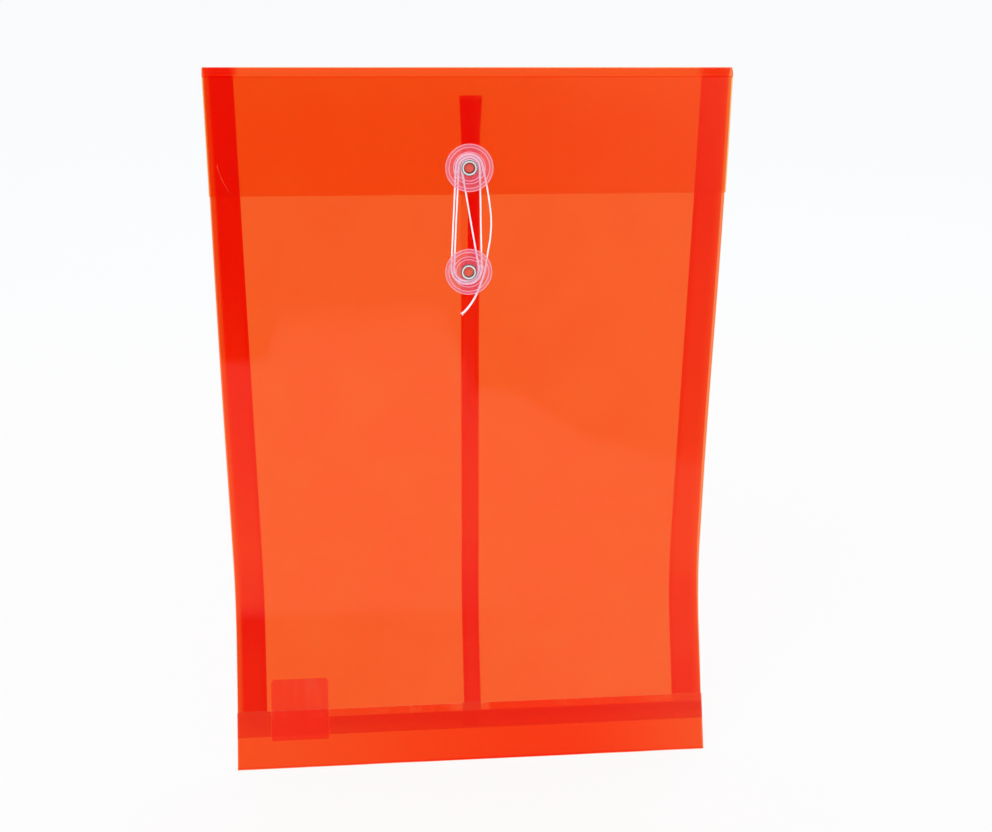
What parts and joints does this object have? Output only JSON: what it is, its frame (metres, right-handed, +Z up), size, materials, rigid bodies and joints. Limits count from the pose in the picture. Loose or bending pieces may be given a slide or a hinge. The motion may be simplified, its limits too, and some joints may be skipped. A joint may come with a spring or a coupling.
{
  "type": "string-tie document envelope",
  "caption": "Upright translucent plastic document envelope with a fold-over flap, pleated side gussets and a string wound round ringed riveted buttons.",
  "frame": {"origin": "bottom centre of the bounding box, under the bottom fold of the standing envelope", "axes": "+Z up along the standing envelope, -Y out of its front, +X to the right as seen from the front"},
  "size_m": [0.245, 0.042, 0.3512],
  "materials": {
    "sheet": "translucent orange-red polypropylene sheet with a fine frosted face",
    "gusset": "the same sheet, doubled and darker where the side gussets fold",
    "weld": "fused and finely ribbed sheet, darker red",
    "disc": "clear moulded plastic with raised rings",
    "metal": "bright nickel plating",
    "string": "white twisted cotton string",
    "label": "blank paper sticker"
  },
  "bodies": {
    "back": {"back_panel": "sheet", "flap_crease": "sheet", "left_rear_gusset": "gusset", "right_rear_gusset": "gusset", "bottom_fold": "sheet", "bottom_flap": "sheet", "bottom_weld": "weld", "rear_label": "label"},
    "front": {"left_front_panel": "sheet", "right_front_panel": "sheet", "centre_seam": "weld", "left_front_gusset": "gusset", "right_front_gusset": "gusset", "lower_eyelet": "metal", "lower_washer": "disc"},
    "flap": {"closing_flap": "sheet", "upper_eyelet": "metal", "upper_washer": "disc", "string_winding": "string", "string_tail": "string"},
    "upper_button": {"upper_disc": "disc"},
    "lower_button": {"lower_disc": "disc"}
  },
  "joints": [
    {"name": "flap_hinge", "type": "hinge", "parent": "back", "child": "flap", "pos_m": [0, 0.0174, 0.34758], "axis": [-1, 0, 0], "range_deg": [0, 180], "deforming": ["flap_crease", "string_winding", "string_tail"]},
    {"name": "mouth", "type": "hinge", "parent": "back", "child": "front", "pos_m": [0, -0.00771, 0.02686], "axis": [1, 0, 0], "range_deg": [0, 2.5], "deforming": ["left_rear_gusset", "left_front_gusset", "right_rear_gusset", "right_front_gusset"]},
    {"name": "upper_button_turn", "type": "hinge", "parent": "flap", "child": "upper_button", "pos_m": [-0.001, 0.01305, 0.30573], "axis": [0, -1, 0], "continuous": true},
    {"name": "lower_button_turn", "type": "hinge", "parent": "front", "child": "lower_button", "pos_m": [-0.001, 0.01405, 0.25523], "axis": [0, -1, 0], "continuous": true}
  ],
  "couplings": [
    {"joint": "mouth", "follows": "flap_hinge", "ratio": 0.01388}
  ]
}
